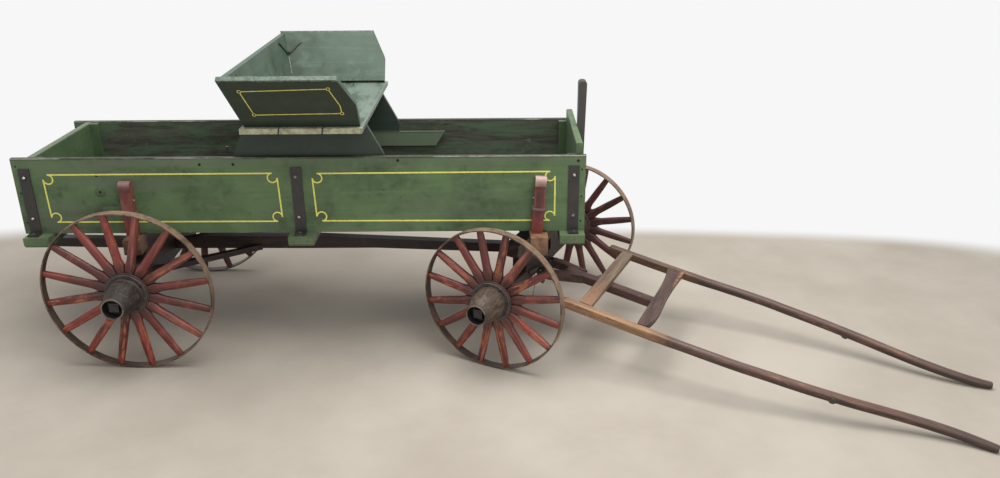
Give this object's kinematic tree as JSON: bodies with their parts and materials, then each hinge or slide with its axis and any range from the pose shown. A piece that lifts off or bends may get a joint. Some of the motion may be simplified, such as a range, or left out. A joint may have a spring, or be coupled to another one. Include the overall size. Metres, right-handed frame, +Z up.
{
  "type": "goat wagon",
  "caption": "Child's farm wagon with a green box, raised seat, wooden spoked wheels and a steering front axle with a pair of shafts for a goat",
  "frame": {"origin": "on the floor under the middle of the parked wagon's bounding box", "axes": "+X forward, from the rear axle toward the shafts' tips; +Y to the wagon's left; +Z up from the floor"},
  "size_m": [3.024, 1.2516, 0.9187],
  "materials": {
    "iron_tyre": "rusted, worn bright on the tread",
    "black_iron": "old black paint, rusty at the edges",
    "box_green": "worn green paint with thin cream lines",
    "seat_green": "faded green paint",
    "inside_brown": "bare old wood with remains of paint",
    "spoke_red": "worn red-orange paint",
    "hub_wood": "dark weathered wood",
    "beam_maroon": "dark red paint, worn at the ends",
    "shaft_wood": "dark stained wood, worn tan behind",
    "bar_wood": "bare grey-tan wood"
  },
  "bodies": {
    "wagon_body": {"corner_battens": "inside_brown", "cross_cleats": "box_green", "floor_boards": "inside_brown", "front_board": "inside_brown", "front_bolster": "beam_maroon", "front_stakes": "beam_maroon", "line_post": "black_iron", "reach": "beam_maroon", "rear_axle_arms": "black_iron", "rear_axle_bed": "beam_maroon", "rear_axle_nuts": "black_iron", "rear_bolster": "beam_maroon", "rear_hounds": "beam_maroon", "rear_stakes": "beam_maroon", "seat_back": "seat_green", "seat_board": "seat_green", "seat_end_left": "seat_green", "seat_end_right": "seat_green", "seat_rail_left": "inside_brown", "seat_rail_right": "inside_brown", "seat_riser_left": "seat_green", "seat_riser_right": "seat_green", "side_board_left": "box_green", "side_board_right": "box_green", "side_irons_left": "black_iron", "side_irons_right": "black_iron", "stake_irons": "black_iron", "tail_board": "inside_brown"},
    "front_gear": {"front_axle_bed": "beam_maroon", "bed_spacers": "beam_maroon", "sand_board": "beam_maroon", "king_bolt": "black_iron", "front_axle_arms": "black_iron", "front_axle_nuts": "black_iron", "hinge_irons": "black_iron"},
    "shafts": {"shaft_right": "shaft_wood", "shaft_left": "shaft_wood", "crossbar_rear": "bar_wood", "crossbar_front": "shaft_wood", "shaft_hounds": "shaft_wood", "tongue": "shaft_wood"},
    "rear_right_wheel": {"rear_right_tyre": "iron_tyre", "rear_right_spokes": "spoke_red", "rear_right_hub": "hub_wood"},
    "rear_left_wheel": {"rear_left_tyre": "iron_tyre", "rear_left_spokes": "spoke_red", "rear_left_hub": "hub_wood"},
    "front_right_wheel": {"front_right_tyre": "iron_tyre", "front_right_spokes": "spoke_red", "front_right_hub": "hub_wood"},
    "front_left_wheel": {"front_left_tyre": "iron_tyre", "front_left_spokes": "spoke_red", "front_left_hub": "hub_wood"}
  },
  "joints": [
    {"name": "steering", "type": "hinge", "parent": "wagon_body", "child": "front_gear", "pos_m": [0.13277, 0.14382, 0.3], "axis": [0, 0, 1], "range_deg": [-3.4, 52.6]},
    {"name": "shaft_lift", "type": "hinge", "parent": "front_gear", "child": "shafts", "pos_m": [0.17368, 0.12509, 0.199], "axis": [-0.4163, -0.9092, 0], "range_deg": [0, 40]},
    {"name": "rear_right_wheel_spin", "type": "hinge", "parent": "wagon_body", "child": "rear_right_wheel", "pos_m": [-1.11123, -0.21718, 0.254], "axis": [0, 1, 0], "continuous": true},
    {"name": "rear_left_wheel_spin", "type": "hinge", "parent": "wagon_body", "child": "rear_left_wheel", "pos_m": [-1.11123, 0.50482, 0.254], "axis": [0, 1, 0], "continuous": true},
    {"name": "front_right_wheel_spin", "type": "hinge", "parent": "front_gear", "child": "front_right_wheel", "pos_m": [-0.01751, -0.18441, 0.2286], "axis": [0.4163, 0.9092, 0], "continuous": true},
    {"name": "front_left_wheel_spin", "type": "hinge", "parent": "front_gear", "child": "front_left_wheel", "pos_m": [0.28305, 0.47206, 0.2286], "axis": [0.4163, 0.9092, 0], "continuous": true}
  ]
}
